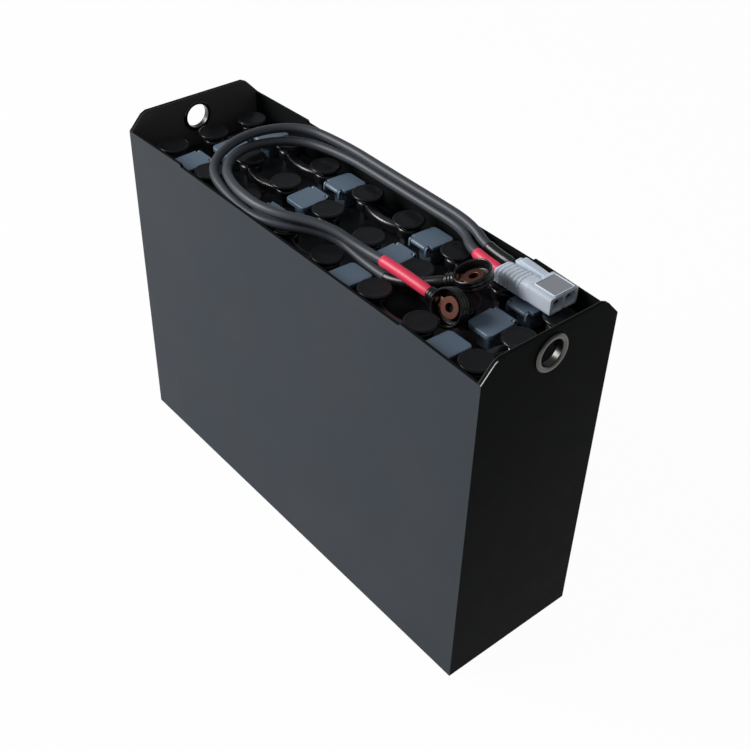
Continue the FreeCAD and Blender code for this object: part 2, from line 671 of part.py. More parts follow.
def route_wire(points):
    """Straight runs joined by tangent arcs of 0.45 of the shorter run over the tangent of half the turn."""
    points = [vector(*point) for point in points]
    edges, radii = [], []
    start = points[0]
    for before, corner, after in zip(points, points[1:], points[2:]):
        back, ahead = (before - corner).normalize(), (after - corner).normalize()
        half_turn = (math.pi - back.getAngle(ahead)) / 2
        trim = 0.45 * min(corner.distanceToPoint(before), corner.distanceToPoint(after))
        radius = trim / math.tan(half_turn)
        inward = (back + ahead).normalize()
        middle = corner + inward * (radius / math.cos(half_turn) - radius)
        first, last = corner + back * trim, corner + ahead * trim
        edges.append(Part.LineSegment(start, first).toShape())
        edges.append(Part.Arc(first, middle, last).toShape())
        radii.append(radius)
        start = last
    edges.append(Part.LineSegment(start, points[-1]).toShape())
    return edges, radii


# Flat sides of a cable's cross-section
TUBE_SIDES = 14


def part_of_route(edges, start, end):
    """The edges of a route between two lengths along it."""
    kept, passed = [], 0.0
    for edge in edges:
        low, high = max(start - passed, 0.0), min(end - passed, edge.Length)
        if high - low > 0.01:
            kept.append(edge.Curve.toShape(edge.getParameterByLength(low), edge.getParameterByLength(high)))
        passed += edge.Length
    return kept


def tube(edges, radius):
    """A solid along edges that run into each other, with a cross-section of many flat sides."""
    start = edges[0].valueAt(edges[0].FirstParameter)
    heading = edges[0].tangentAt(edges[0].FirstParameter)
    turn = FreeCAD.Rotation(vector(0, 0, 1), heading)
    corners = []
    for step in range(TUBE_SIDES):
        angle = math.tau * step / TUBE_SIDES
        corners.append(start + turn.multVec(vector(radius * math.cos(angle), radius * math.sin(angle), 0)))
    section = Part.makePolygon(corners + corners[:1])
    return Part.Wire(edges).makePipeShell([section], True, False)


def make_cable(name, points):
    """One lead cable with its two heat-shrink sleeves."""
    edges, radii = route_wire(points)
    radius = size("cable_radius").number
    length = sum(edge.Length for edge in edges)
    cable = tube(edges, radius)
    expected = TUBE_SIDES / 2 * radius ** 2 * math.sin(math.tau / TUBE_SIDES) * length
    print(f"{name} cable: length {length:.1f}, smallest radius {min(radii):.0f}, radii",
          " ".join(f"{value:.0f}" for value in radii), f", volume ratio {cable.Volume / expected:.4f}")
    items = [group(f"{name}_cable", [cable])]
    inner = round_flats(radius + size("sleeve_clearance").number, TUBE_SIDES)
    outer = inner + size("sleeve_wall").number
    lug_end, plug_end = size("lug_sleeve_length").number, size("plug_sleeve_length").number
    for place_name, low, high in (("lug", 0.0, lug_end), ("plug", length - plug_end, length)):
        stretch = part_of_route(edges, low, high)
        sleeve = tube(stretch, outer).cut(tube(stretch, inner))
        items.append(group(f"{name}_{place_name}_sleeve", [sleeve]))
    return items


def lug_frame(name, points):
    """Placement of a lug: its barrel points back along the cable and its face is turned up from -Y."""
    start, second = vector(*points[0]), vector(*points[1])
    along = (second - start).normalize()
    tilt = math.radians(size(f"{name}_tilt").number)
    facing = vector(0, -math.cos(tilt), math.sin(tilt))
    facing = (facing - along * facing.dot(along)).normalize()
    across = facing.cross(along)
    matrix = FreeCAD.Matrix(along.x, across.x, facing.x, start.x, along.y, across.y, facing.y, start.y,
                            along.z, across.z, facing.z, start.z, 0, 0, 0, 1)
    reach = size("lug_neck").number + size("lug_barrel_length").number
    return FreeCAD.Placement(matrix).multiply(FreeCAD.Placement(vector(-reach, 0, 0), FreeCAD.Rotation()))


def make_lug(name, points):
    """Crimped copper lug: a flat eye and a barrel, whose end face meets the cable."""
    eye, hole, thickness = (size(key).number for key in ("lug_eye", "lug_hole", "lug_sheet"))
    neck, barrel, length = (size(key).number for key in ("lug_neck", "lug_barrel", "lug_barrel_length"))
    palm = prism(eye, thickness, 20, -thickness / 2)
    tongue = Part.makeBox(neck, barrel * 2, thickness, vector(0, -barrel, -thickness / 2))
    ferrule = prism(barrel, length, 12)
    ferrule.Placement = FreeCAD.Placement(vector(neck, 0, 0), FreeCAD.Rotation(vector(0, 1, 0), 90))
    bore = prism(hole, thickness * 2, 10, -thickness)
    item = group(f"{name}_lug", [palm.fuse([tongue, ferrule]).removeSplitter().cut(bore)])
    item.Placement = lug_frame(name, points)
    return item


def make_boot(name, points):
    """Round rubber boot, open towards the lug's face, with a neck over the barrel."""
    outer, wall, front, back = (size(key).number for key in ("boot_radius", "boot_wall", "boot_front", "boot_back"))
    neck, neck_end, gap = (size(key).number for key in ("boot_neck", "boot_neck_end", "boot_clearance"))
    barrel = size("lug_barrel").number + gap
    cup = prism(outer, front + back, 32, -back)
    hollow = prism(outer - wall, front + back, 32, wall - back)
    sideways = FreeCAD.Rotation(vector(0, 1, 0), 90)
    collar = prism(neck, neck_end, 16)
    passage = prism(round_flats(barrel, 16), neck_end + 1, 16)
    for piece in (collar, passage):
        piece.Placement = FreeCAD.Placement(vector(0, 0, 0), sideways)
    item = group(f"{name}_boot", [cup.fuse(collar).cut(hollow).cut(passage)])
    item.Placement = lug_frame(name, points)
    return item


def make_plug():
    """Two-pole plug: ribbed lobe, plain lobe, a trough between them, a full-height head and two chambers."""
    body = doc.addObject("PartDesign::Body", "plug_housing")
    half, height, length = size("plug_width") / 2, size("plug_height"), size("plug_length")
    rear_height, head_start = size("plug_rear_height"), length - "plug_head"
    lobe_edge = size("plug_lobe") - half
    trough_edge = lobe_edge + "plug_trough"
    web = plane_sketch(body, "plug_web", "XZ_Plane")
    draw_polygon(web, [(0, 0), (length, 0), (length, height), (head_start + 4, height),
                       (head_start + 2, "plug_trough_height"), (0, "plug_trough_height")])
    pad(body, web, size("plug_width"), both_ways=True)
    lobe = plane_sketch(body, "plug_ribbed_lobe", "XZ_Plane", half)
    draw_polygon(lobe, [(0, 0), (length, 0), (length, height), (head_start - 2, height), (8, rear_height + 1.5),
                        (2, rear_height), (0, rear_height - 2)])
    pad(body, lobe, "plug_lobe", reverse=True)
    plain = plane_sketch(body, "plug_plain_lobe", "XZ_Plane", -half)
    draw_polygon(plain, [(0, 0), (length, 0), (length, height), (head_start + 6, height), (head_start, rear_height - 1),
                         (14, rear_height + 1), (9, rear_height + 1), (8, rear_height - 3), (0, rear_height - 3)])
    pad(body, plain, half - trough_edge)
    slope = size("plug_corner")
    for name, edge, top, run in (("front", -half, height, slope), ("back", half, height, slope / 2),
                                 ("rear", -half, rear_height + 1.5, slope)):
        inward = 1 if name != "back" else -1
        bevel = plane_sketch(body, f"plug_{name}_slope", "YZ_Plane")
        draw_polygon(bevel, [(edge - inward, top - run - 1), (edge + run * inward + inward, top + 1),
                             (edge - inward, top + 1)])
        pocket(body, bevel, head_start - 2 if name == "rear" else length, reverse=True)
    field = plane_sketch(body, "plug_field", "XY_Plane", height)
    field_low, field_high = -half + slope + 1, half - slope / 2 - 1
    draw_polygon(field, rectangle(head_start + 5, length - 1.5, field_low, field_high))
    pad(body, field, "plug_field_rise")
    bare = plane_sketch(body, "plug_bare_field", "XY_Plane", height + "plug_field_rise")
    rim = size("plug_field_rim")
    draw_polygon(bare, rectangle(head_start + 5 + rim, length - 1.5 - rim, field_low + rim, field_high - rim))
    pocket(body, bare, size("plug_field_rise") / 2)
    depth = size("plug_rib_depth")
    for count in range(1, 8):
        groove = plane_sketch(body, f"plug_groove_{count}", "YZ_Plane", size("plug_rib_pitch") * count)
        draw_polygon(groove, [(-half - 1, -1), (-half + depth, -1), (-half + depth, rear_height - slope),
                              (-half + slope, rear_height - depth / 2), (lobe_edge - 6, rear_height - depth / 2),
                              (lobe_edge - 6, height + 1), (-half - 1, height + 1)])
        pocket(body, groove, "plug_rib_width", reverse=True)
    for side, name in ((-1, "front"), (1, "back")):
        mouth = plane_sketch(body, f"plug_{name}_mouth", "YZ_Plane", length)
        middle = size("plug_pole_pitch") / 2 * side
        half_mouth = size("plug_mouth_width") / 2
        foot = (height - "plug_mouth_height") / 2
        roof = foot + "plug_mouth_height"
        draw_polygon(mouth, [(middle - half_mouth, foot), (middle + half_mouth, foot),
                             (middle + half_mouth, roof - 3.5), (middle + half_mouth - 3.5, roof),
                             (middle - half_mouth + 3.5, roof), (middle - half_mouth, roof - 3.5)])
        pocket(body, mouth, "plug_mouth_depth")
    place(body, plug_rear_x, plug_centre_y, plug_foot)
    return body


def make_plug_contacts():
    """Flat contact blades in the plug's two chambers."""
    blades = []
    rear = plug_rear_x + "plug_length" - "plug_mouth_depth"
    level = plug_foot + (size("plug_height") - "contact_sheet") / 2
    length, width, thickness = (size(name).number for name in ("contact_length", "contact_width", "contact_sheet"))
    for side in (-1, 1):
        middle = plug_centre_y + size("plug_pole_pitch") / 2 * side
        blades.append(Part.makeBox(length, width, thickness,
                                   vector(rear.number, middle.number - width / 2, level.number)))
    return group("plug_contacts", blades)


parts = [make_tray(), make_lifting_rings()]
parts += make_side_packings()
parts += [make_cell_jar(row, column) for row, column in CELLS]
parts.append(make_cell_covers())
parts.append(make_plate_group("positive_plates", "positive", positive_plate.number, 1))
parts.append(make_plate_group("negative_plates", "negative", size("negative_plate").number, -1))
parts.append(make_separators())
parts.append(make_vent_plugs())
parts += [make_vent_lid(row, column) for row, column in CELLS]
parts += [make_links(), make_pole_screws(), make_end_washers(), make_screw_caps()]
for cable_name, route in (("positive", POSITIVE_ROUTE), ("negative", NEGATIVE_ROUTE)):
    parts += make_cable(cable_name, route)
    parts += [make_lug(cable_name, route), make_boot(cable_name, route)]
parts += [make_plug(), make_plug_contacts()]
doc.recompute()

for item in doc.Objects:
    if "Invalid" in item.State or "Error" in item.State:
        raise RuntimeError(f"{item.Label} failed: {item.State}")
for part in parts:
    if part.Shape.isNull() or not part.Shape.isValid():
        raise RuntimeError(f"{part.Label} has no valid shape")
    part.Shape.exportStep(f"parts/{part.Label}.step")
print(len(parts), "sub-parts written")
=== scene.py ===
"""Studio scene of the forklift traction battery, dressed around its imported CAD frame.

Lengths are metres in the frame's own axes: +X along the long walls to the end where the plug lies,
+Y across to the back wall, +Z up, with the origin in the middle of the tray's underside.
"""
import json
import math

import bmesh
import bpy
import numpy as np
from mathutils import Matrix, Vector


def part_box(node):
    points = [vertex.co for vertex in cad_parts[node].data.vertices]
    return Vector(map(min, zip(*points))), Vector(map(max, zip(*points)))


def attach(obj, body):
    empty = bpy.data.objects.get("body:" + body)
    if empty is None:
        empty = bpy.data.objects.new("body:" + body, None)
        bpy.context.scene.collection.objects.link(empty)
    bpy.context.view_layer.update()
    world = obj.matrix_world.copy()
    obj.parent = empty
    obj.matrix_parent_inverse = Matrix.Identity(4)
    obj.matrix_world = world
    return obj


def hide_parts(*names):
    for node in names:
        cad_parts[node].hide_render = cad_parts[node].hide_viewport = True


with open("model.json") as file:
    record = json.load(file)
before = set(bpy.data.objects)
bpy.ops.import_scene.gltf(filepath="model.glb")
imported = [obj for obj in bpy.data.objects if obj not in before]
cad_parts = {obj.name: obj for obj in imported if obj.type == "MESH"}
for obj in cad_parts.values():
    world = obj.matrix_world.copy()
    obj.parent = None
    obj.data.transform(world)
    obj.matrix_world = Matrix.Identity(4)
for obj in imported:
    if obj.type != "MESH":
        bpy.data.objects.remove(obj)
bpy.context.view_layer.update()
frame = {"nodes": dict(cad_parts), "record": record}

MM = 0.001
BODY = "battery"
NODES = frame["nodes"]
ROWS = ("front", "middle", "back")
COLUMNS = (1, 2, 3, 4)


def middle_of(node):
    """The centre of a CAD node's box."""
    low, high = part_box(node)
    return (low + high) / 2


def top_of(node):
    """The height of a CAD node's highest point."""
    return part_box(node)[1].z


# Places read from the frame
CELLS = {(row, column): middle_of(f"cell_jar_{row}_{column}") for row in ROWS for column in COLUMNS}
TRAY_LOW, TRAY_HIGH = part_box("tray")
COVER_TOP = top_of("cell_covers")
POLE_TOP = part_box("cell_links")[0].z
SCREW_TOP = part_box("screw_caps")[0].z
POLE_OFFSET = 42 * MM
COLUMN_PITCH = CELLS[("front", 2)].x - CELLS[("front", 1)].x
ROW_PITCH = CELLS[("middle", 1)].y - CELLS[("front", 1)].y
BARREL_RADIUS = 3.2  # millimetres, like the profiles below
HINGE_OFFSET = 21  # millimetres from the middle of the cell
HINGE_LEVEL = top_of("vent_plugs") - BARREL_RADIUS * MM
HINGE_IN_FRONT = {cell: cell[0] == "back" or cell in (("front", 3), ("front", 4)) for cell in CELLS}


# Meshes from arrays

def grid_faces(rows, columns, closed_rows):
    """Quads between neighbouring points of a grid that is closed round its columns, as point numbers."""
    i, j = np.meshgrid(np.arange(rows if closed_rows else rows - 1), np.arange(columns), indexing="ij")
    i_next, j_next = (i + 1) % rows, (j + 1) % columns
    corners = (i * columns + j, i_next * columns + j, i_next * columns + j_next, i * columns + j_next)
    return np.stack(corners, axis=-1).reshape(-1, 4)


class Surface:
    """Grids of points gathered into one mesh."""

    def __init__(self):
        self.points = []
        self.faces = []
        self.count = 0

    def add(self, grid, closed_rows=False):
        """Take a grid of shape (rows, columns, 3), closed round its columns."""
        rows, columns = grid.shape[:2]
        self.faces.append(grid_faces(rows, columns, closed_rows) + self.count)
        self.points.append(grid.reshape(-1, 3))
        self.count += rows * columns
        return self

    def mesh(self, name, smooth_angle=40):
        """The gathered grids as a closed mesh: doubles merged and faces turned outwards."""
        points, faces = np.concatenate(self.points), np.concatenate(self.faces)
        mesh = bpy.data.meshes.new(name)
        mesh.from_pydata(points.tolist(), [], faces.tolist())
        tidy = bmesh.new()
        tidy.from_mesh(mesh)
        bmesh.ops.remove_doubles(tidy, verts=tidy.verts, dist=1e-6)
        bmesh.ops.recalc_face_normals(tidy, faces=tidy.faces)
        tidy.to_mesh(mesh)
        tidy.free()
        mesh.shade_smooth()
        mesh.set_sharp_from_angle(angle=math.radians(smooth_angle))
        return mesh


def dress(name, mesh, material, nodes=(), body=BODY):
    """A finished piece in the scene, riding on its body in place of its CAD nodes."""
    piece = bpy.data.objects.new(name, mesh)
    bpy.context.scene.collection.objects.link(piece)
    mesh.materials.clear()
    mesh.materials.append(material)
    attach(piece, body)
    if nodes:
        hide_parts(*nodes)
    return piece


def blended(corners, steps=6):
    """A closed outline through (x, y, radius) corners, each rounded by a quadratic blend.

    At a corner C with its start P and end Q on the two sides, the outline runs along
    (1-t)^2 P + 2t(1-t) C + t^2 Q."""
    spots = np.array([corner[:2] for corner in corners], float)
    outline = []
    for index, (_, _, radius) in enumerate(corners):
        corner, before, after = spots[index], spots[index - 1], spots[(index + 1) % len(spots)]
        back, ahead = before - corner, after - corner
        back_length, ahead_length = np.linalg.norm(back), np.linalg.norm(ahead)
        reach = min(radius, 0.48 * back_length, 0.48 * ahead_length)
        if reach <= 0:
            outline.append(corner[None])
            continue
        start, end = corner + back / back_length * reach, corner + ahead / ahead_length * reach
        t = np.linspace(0, 1, steps)[:, None]
        outline.append((1 - t) ** 2 * start + 2 * t * (1 - t) * corner + t ** 2 * end)
    return np.concatenate(outline)


def superellipse(half_width, half_height, power, count=56):
    """Points of |x/a|^n + |y/b|^n = 1 at even angles: a box outline with soft corners."""
    angle = np.linspace(0, 2 * np.pi, count, endpoint=False)
    across, up = np.cos(angle), np.sin(angle)
    reach = (np.abs(across / half_width) ** power + np.abs(up / half_height) ** power) ** (-1 / power)
    return np.stack([across * reach, up * reach], axis=1)


def turned(profile, sides=36):
    """A profile turned about Z: (r, z) becomes (r cos a, r sin a, z) for each angle a."""
    radius, height = np.array(profile, float).T[:, :, None] * MM
    angle = np.linspace(0, 2 * np.pi, sides, endpoint=False)
    return np.stack([radius * np.cos(angle), radius * np.sin(angle), height + 0 * angle], axis=-1)


def capped(sections):
    """Sections of shape (stations, points, 3) with a pole at the middle of each end."""
    first, last = sections[:1].mean(axis=1, keepdims=True), sections[-1:].mean(axis=1, keepdims=True)
    ends = [np.repeat(end, sections.shape[1], axis=1) for end in (first, last)]
    return np.concatenate([ends[0], sections, ends[1]])


def moved(grid, place, turn=0.0):
    """A grid turned about Z by degrees and moved."""
    cosine, sine = math.cos(math.radians(turn)), math.sin(math.radians(turn))
    rotation = np.array([[cosine, -sine, 0], [sine, cosine, 0], [0, 0, 1]])
    return grid @ rotation.T + np.asarray(place, float)


def set_in(grid, matrix):
    """A grid carried into a frame whose columns are three axes and an origin."""
    return grid @ matrix[:, :3].T + matrix[:, 3]


def along_x(stations, outline):
    """An outline in Y and Z repeated at stations along X, in millimetres, as a grid in metres."""
    return np.array([np.column_stack([np.full(len(outline), x), outline]) for x in stations]) * MM


def merged(node):
    """A merged copy of a CAD node's mesh with its flat faces joined."""
    mesh = NODES[node].data.copy()
    tidy = bmesh.new()
    tidy.from_mesh(mesh)
    bmesh.ops.remove_doubles(tidy, verts=tidy.verts, dist=2e-6)
    bmesh.ops.dissolve_limit(tidy, angle_limit=math.radians(0.5), verts=tidy.verts, edges=tidy.edges)
    tidy.to_mesh(mesh)
    tidy.free()
    mesh.shade_smooth()
    return mesh


def soften(piece, width):
    """Bevel the edges that turn by more than 30 degrees and keep the flat faces evenly shaded."""
    bevel = piece.modifiers.new("edge", "BEVEL")
    bevel.width = width
    bevel.segments = 2
    bevel.limit_method = "ANGLE"
    bevel.angle_limit = math.radians(30)
    bevel.harden_normals = True
    even = piece.modifiers.new("even_shading", "WEIGHTED_NORMAL")
    even.keep_sharp = True


# Materials

def shader_of(material):
    """The material's Principled BSDF."""
    return material.node_tree.nodes["Principled BSDF"]


def plain(name, colour, roughness, metallic=0.0, specular=0.5, coat=0.0):
    """A material with one colour and finish."""
    material = bpy.data.materials.new(name)
    material.use_nodes = True
    shader = shader_of(material)
    shader.inputs["Base Color"].default_value = (*colour, 1)
    shader.inputs["Roughness"].default_value = roughness
    shader.inputs["Metallic"].default_value = metallic
    shader.inputs["Specular IOR Level"].default_value = specular
    shader.inputs["Coat Weight"].default_value = coat
    shader.inputs["Coat Roughness"].default_value = 0.15
    return material


def grain_group():
    """Node group: a fine grain's normal, and a roughness that drifts slowly about its middle."""
    group = bpy.data.node_groups.new("moulded_grain", "ShaderNodeTree")
    for name, value in (("Size", 900.0), ("Depth", 0.1), ("Roughness", 0.5), ("Drift", 0.1)):
        socket = group.interface.new_socket(name, in_out="INPUT", socket_type="NodeSocketFloat")
        socket.default_value = value
    group.interface.new_socket("Normal", in_out="OUTPUT", socket_type="NodeSocketVector")
    group.interface.new_socket("Roughness", in_out="OUTPUT", socket_type="NodeSocketFloat")
    start, end = group.nodes.new("NodeGroupInput"), group.nodes.new("NodeGroupOutput")
    place = group.nodes.new("ShaderNodeTexCoord")
    fine, slow = group.nodes.new("ShaderNodeTexNoise"), group.nodes.new("ShaderNodeTexNoise")
    slow.inputs["Scale"].default_value = 45
    bump = group.nodes.new("ShaderNodeBump")
    bump.inputs["Distance"].default_value = 0.0004
    shift = group.nodes.new("ShaderNodeMath")
    shift.operation = "SUBTRACT"
    shift.inputs[1].default_value = 0.5
    spread = group.nodes.new("ShaderNodeMath")
    spread.operation = "MULTIPLY_ADD"
    links = group.links
    links.new(place.outputs["Object"], fine.inputs["Vector"])
    links.new(place.outputs["Object"], slow.inputs["Vector"])
    links.new(start.outputs["Size"], fine.inputs["Scale"])
    links.new(start.outputs["Depth"], bump.inputs["Strength"])
    links.new(fine.outputs["Fac"], bump.inputs["Height"])
    links.new(slow.outputs["Fac"], shift.inputs[0])
    links.new(shift.outputs[0], spread.inputs[0])
    links.new(start.outputs["Drift"], spread.inputs[1])
    links.new(start.outputs["Roughness"], spread.inputs[2])
    links.new(bump.outputs["Normal"], end.inputs["Normal"])
    links.new(spread.outputs[0], end.inputs["Roughness"])
    return group


GRAIN = grain_group()


def grained(material, grain_size, depth, drift):
    """Give a material a fine grain and a roughness that drifts."""
    tree, shader = material.node_tree, shader_of(material)
    grain = tree.nodes.new("ShaderNodeGroup")
    grain.node_tree = GRAIN
    grain.inputs["Size"].default_value = grain_size
    grain.inputs["Depth"].default_value = depth
    grain.inputs["Roughness"].default_value = shader.inputs["Roughness"].default_value
    grain.inputs["Drift"].default_value = drift
    tree.links.new(grain.outputs["Normal"], shader.inputs["Normal"])
    tree.links.new(grain.outputs["Roughness"], shader.inputs["Roughness"])
    return material


# Where the tray's colour changes to paint in light and shade: a lighter strip painted as light about the end
# plates' inner faces, the long walls' outer faces painted lighter as lit, and a painted highlight on the
# slope of the near end plate's edge that faces front and up
INNER_BAND = (TRAY_HIGH.x - 5.6 * MM, TRAY_HIGH.x - 4.4 * MM)
OUTER_FACE = TRAY_HIGH.y - 0.5 * MM
HIGHLIGHT_FROM = TRAY_HIGH.x - 1.0 * MM
HIGHLIGHT_FACING = (0, -0.731, 0.682)
# Two tones of the long walls' outer faces: painted lighter than the inside as lit, mottled at random between
# them
OUTER_WALL_LIGHT_AND_MOTTLE = ((0.050, 0.060, 0.072), (0.066, 0.070, 0.077))
MOTTLE_SCALE = 7
# The pale colour of the painted highlight on the near end plate's edge
PAINTED_HIGHLIGHT_COLOUR = (0.62, 0.63, 0.66)


def above(tree, value, threshold):
    """A mask that is 1 where a value passes a threshold, with a soft step of half a millimetre."""
    mask = tree.nodes.new("ShaderNodeMapRange")
    mask.inputs["From Min"].default_value = threshold - 0.25 * MM
    mask.inputs["From Max"].default_value = threshold + 0.25 * MM
    tree.links.new(value, mask.inputs["Value"])
    return mask.outputs["Result"]


def tray_paint():
    """Satin black with light and shade painted in: a shaded inside and ends, lit outer long walls with a
    mottle, lit end-plate inner faces, one painted highlight.
    """
    material = plain("black_tray_paint", (0.03, 0.03, 0.03), 0.42, specular=0.01)
    tree = material.node_tree

    def mixed(factor, a, b):
        mix = tree.nodes.new("ShaderNodeMix")
        mix.data_type = "RGBA"
        for socket, value in (("A", a), ("B", b)):
            if isinstance(value, tuple):
                mix.inputs[socket].default_value = (*value, 1)
            else:
                tree.links.new(value, mix.inputs[socket])
        tree.links.new(factor, mix.inputs["Factor"])
        return mix.outputs["Result"]

    place = tree.nodes.new("ShaderNodeTexCoord")
    axes = tree.nodes.new("ShaderNodeSeparateXYZ")
    tree.links.new(place.outputs["Object"], axes.inputs[0])
    out = {}
    for axis in "XY":
        distance = tree.nodes.new("ShaderNodeMath")
        distance.operation = "ABSOLUTE"
        tree.links.new(axes.outputs[axis], distance.inputs[0])
        out[axis] = distance.outputs[0]
    slow = tree.nodes.new("ShaderNodeTexNoise")
    slow.inputs["Scale"].default_value = MOTTLE_SCALE
    tree.links.new(place.outputs["Object"], slow.inputs["Vector"])
    # Painted shade and light: the inside near black as shade, a lighter strip about the end plates' inner
    # faces as light, and the end plates beyond it blacker as shade
    inside, painted_light_strip, painted_shade_ends = (0.011, 0.012, 0.012), (0.085, 0.088, 0.078), (0.0065, 0.0073, 0.0069)
    paint = mixed(above(tree, out["X"], INNER_BAND[0]), inside, painted_light_strip)
    paint = mixed(above(tree, out["X"], INNER_BAND[1]), paint, painted_shade_ends)
    # The long walls' outer faces painted lighter as lit, mottled at random between two tones
    paint = mixed(above(tree, out["Y"], OUTER_FACE), paint, mixed(slow.outputs["Fac"], *OUTER_WALL_LIGHT_AND_MOTTLE))
    # A painted highlight: a pale stripe where the near end plate's edge faces front and up
    slope = tree.nodes.new("ShaderNodeVectorMath")
    slope.operation = "DOT_PRODUCT"
    slope.inputs[1].default_value = HIGHLIGHT_FACING
    surface = tree.nodes.new("ShaderNodeNewGeometry")
    tree.links.new(surface.outputs["Normal"], slope.inputs[0])
    facing = tree.nodes.new("ShaderNodeMapRange")
    facing.inputs["From Min"].default_value = 0.90
    facing.inputs["From Max"].default_value = 0.97
    tree.links.new(slope.outputs["Value"], facing.inputs["Value"])
    highlight_mask = tree.nodes.new("ShaderNodeMath")
    highlight_mask.operation = "MULTIPLY"
    tree.links.new(above(tree, axes.outputs["X"], HIGHLIGHT_FROM), highlight_mask.inputs[0])
    tree.links.new(facing.outputs["Result"], highlight_mask.inputs[1])
    colour = mixed(highlight_mask.outputs[0], paint, PAINTED_HIGHLIGHT_COLOUR)
    tree.links.new(colour, shader_of(material).inputs["Base Color"])
    return material


MATERIALS = {
    "tray_paint": tray_paint(),
    "plated_steel": plain("zinc_plated_steel", (0.090, 0.090, 0.084), 0.32, metallic=1.0),
    "board_plastic": plain("packing_board", (0.020, 0.021, 0.024), 0.6, specular=0.2),
    "cell_plastic": plain("cell_cover_plastic", (0.012, 0.013, 0.015), 0.5, specular=0.25),
    "lead": plain("cast_lead", (0.12, 0.12, 0.125), 0.5, metallic=1.0),
    "separator_sheet": plain("separator_sheet", (0.55, 0.54, 0.5), 0.8),
    "vent_plastic": plain("slate_vent_plastic", (0.130, 0.180, 0.245), 0.34, specular=0.5),
    "link_rubber": plain("glossy_link_rubber", (0.007, 0.007, 0.009), 0.28, specular=0.8),
    "screw_steel": plain("screw_steel", (0.25, 0.25, 0.25), 0.38, metallic=1.0),
    "cap_plastic": plain("matt_cap_plastic", (0.0075, 0.0078, 0.0095), 0.5, specular=0.1, coat=0.35),
    "cable_jacket": plain("cable_jacket", (0.050, 0.056, 0.068), 0.46, specular=0.5),
    "red_sleeve": plain("red_heat_shrink", (0.88, 0.050, 0.115), 0.4),
    "black_sleeve": plain("black_heat_shrink", (0.010, 0.010, 0.011), 0.3),
    "copper": plain("lug_copper", (0.17, 0.075, 0.055), 0.5, metallic=1.0),
    "boot_rubber": plain("boot_rubber", (0.007, 0.007, 0.008), 0.26),
    "plug_plastic": plain("grey_plug_plastic", (0.70, 0.775, 0.87), 0.42, specular=0.4),
}
grained(MATERIALS["vent_plastic"], 1500, 0.06, 0.12)
grained(MATERIALS["cell_plastic"], 1200, 0.10, 0.15)
grained(MATERIALS["cap_plastic"], 1400, 0.05, 0.10)
grained(MATERIALS["plug_plastic"], 1300, 0.06, 0.10)
grained(MATERIALS["tray_paint"], 700, 0.10, 0.12)
grained(MATERIALS["plated_steel"], 900, 0.08, 0.20)
BARE_FIELD = grained(plain("plug_bare_field", (0.33, 0.34, 0.37), 0.6, specular=0.3), 1100, 0.9, 0.2)


# The lead cables: the same route points as the part's source, in metres

POSITIVE_ROUTE = [
    (172, -28.1, 447), (118, -30, 450.6), (66, -31.5, 446.8), (14, -42, 458), (-46, -83.3, 461),
    (-112, -82.5, 460.8), (-172, -58, 456), (-209, 2, 450), (-184, 68, 447.6), (-112, 88.3, 447),
    (-40, 88.3, 446.9), (40, 88.4, 446.9), (106, 88.3, 447), (146, 59, 449.3), (190, 59, 449.3)]
NEGATIVE_ROUTE = [
    (168.5, -2, 448.4), (130, -30.5, 431), (66, -31, 430.6), (12, -34, 444.5), (-46, -88.6, 447.7),
    (-112, -88.4, 447), (-190, -70, 452), (-216, 0, 463), (-188, 72, 465), (-112, 88.6, 461),
    (-40, 88.3, 460.5), (40, 88.3, 460.5), (116, 87.4, 461), (151, 79, 449.3), (190, 79, 449.3)]
CABLE_RADIUS = 6 * MM
SLEEVE_INNER, SLEEVE_OUTER = CABLE_RADIUS + 0.1 * MM, CABLE_RADIUS + 1.0 * MM
SLEEVE_ENDS = {"lug": (0.0, 74 * MM), "plug": (-40 * MM, 0.0)}


def nurbs_curve(name, points, radius):
    """A quadratic NURBS curve through the ends of its points, with a round section.

    The section's radius is each point's own, because a curve's box reaches that far past its points."""
    curve = bpy.data.curves.new(name, "CURVE")
    curve.dimensions = "3D"
    curve.bevel_depth = 1.0
    curve.bevel_resolution = 5
    curve.resolution_u = 16
    curve.use_fill_caps = True
    spline = curve.splines.new("NURBS")
    spline.points.add(len(points) - 1)
    for point, place in zip(spline.points, points):
        point.co = (*place, 1.0)
        point.radius = radius
    spline.order_u = 3
    spline.use_endpoint_u = True
    return curve


def line_of(curve):
    """The curve's own points in order, read with no bevel on it."""
    bevel_depth = curve.bevel_depth
    curve.bevel_depth = 0
    guide = bpy.data.objects.new("guide", curve)
    mesh = bpy.data.meshes.new_from_object(guide)
    points = np.empty(len(mesh.vertices) * 3)
    mesh.vertices.foreach_get("co", points)
    bpy.data.objects.remove(guide)
    bpy.data.meshes.remove(mesh)
    curve.bevel_depth = bevel_depth
    return points.reshape(-1, 3)


def stretch_of(line, start, end):
    """The part of a polyline between two lengths along it, with both ends exact, and its own lengths.

    A start below 0 or an end of 0 or below is counted from the line's end."""
    gaps = np.linalg.norm(np.diff(line, axis=0), axis=1)
    passed = np.concatenate([[0], np.cumsum(gaps)])
    if end <= 0:
        end = passed[-1] + end
    if start < 0:
        start = passed[-1] + start
    marks = np.unique(np.concatenate([[start, end], passed[(passed > start) & (passed < end)]]))
    return np.stack([np.interp(marks, passed, line[:, axis]) for axis in range(3)], axis=1), marks


